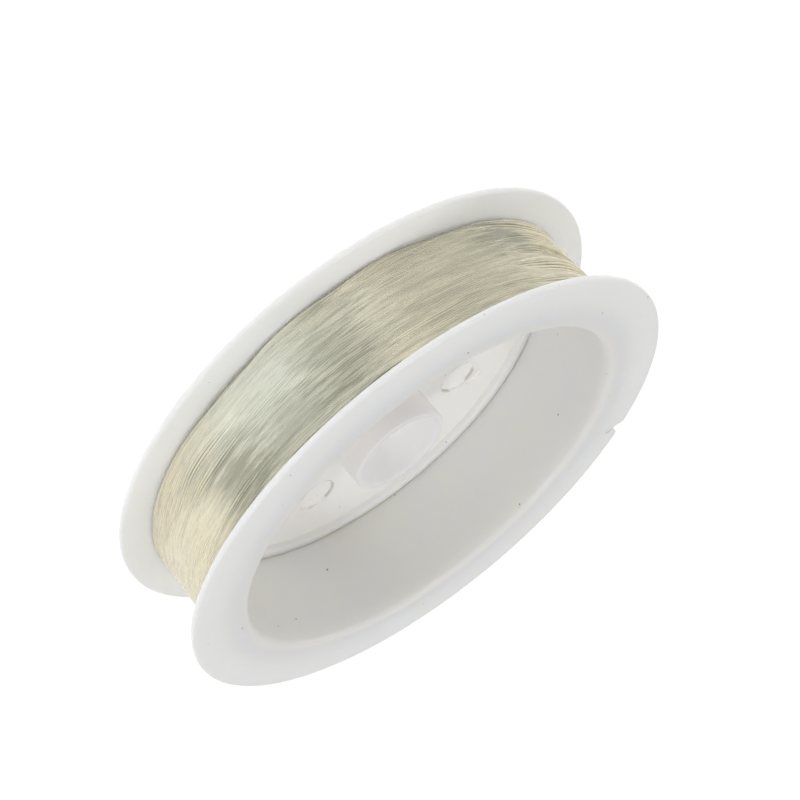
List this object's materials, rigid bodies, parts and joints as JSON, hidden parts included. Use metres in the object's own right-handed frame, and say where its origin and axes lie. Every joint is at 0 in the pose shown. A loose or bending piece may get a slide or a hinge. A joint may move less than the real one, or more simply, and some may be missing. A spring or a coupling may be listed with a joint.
{
  "type": "fishing line spool",
  "caption": "Small two-part plastic spool with a bored hub and an open drum, wound with clear fishing line whose end is caught in a rim slit.",
  "frame": {"origin": "on the bore axis, in the plane of the closed back face that the spool lies on", "axes": "+Z along the bore axis, from the closed back face to the open drum; +X through the line slit in the rim of the front flange; +Y completes the right hand"},
  "size_m": [0.055, 0.055, 0.0126],
  "materials": {
    "spool_plastic": "natural translucent polypropylene, satin as moulded",
    "tape": "clear adhesive tape",
    "line": "clear pale yellow-green nylon line, glossy"
  },
  "bodies": {
    "root": {"flanged_drum": "spool_plastic", "hub_disc": "spool_plastic", "line_start_tape": "tape", "line_winding": "line", "line_tail": "line"}
  },
  "joints": []
}
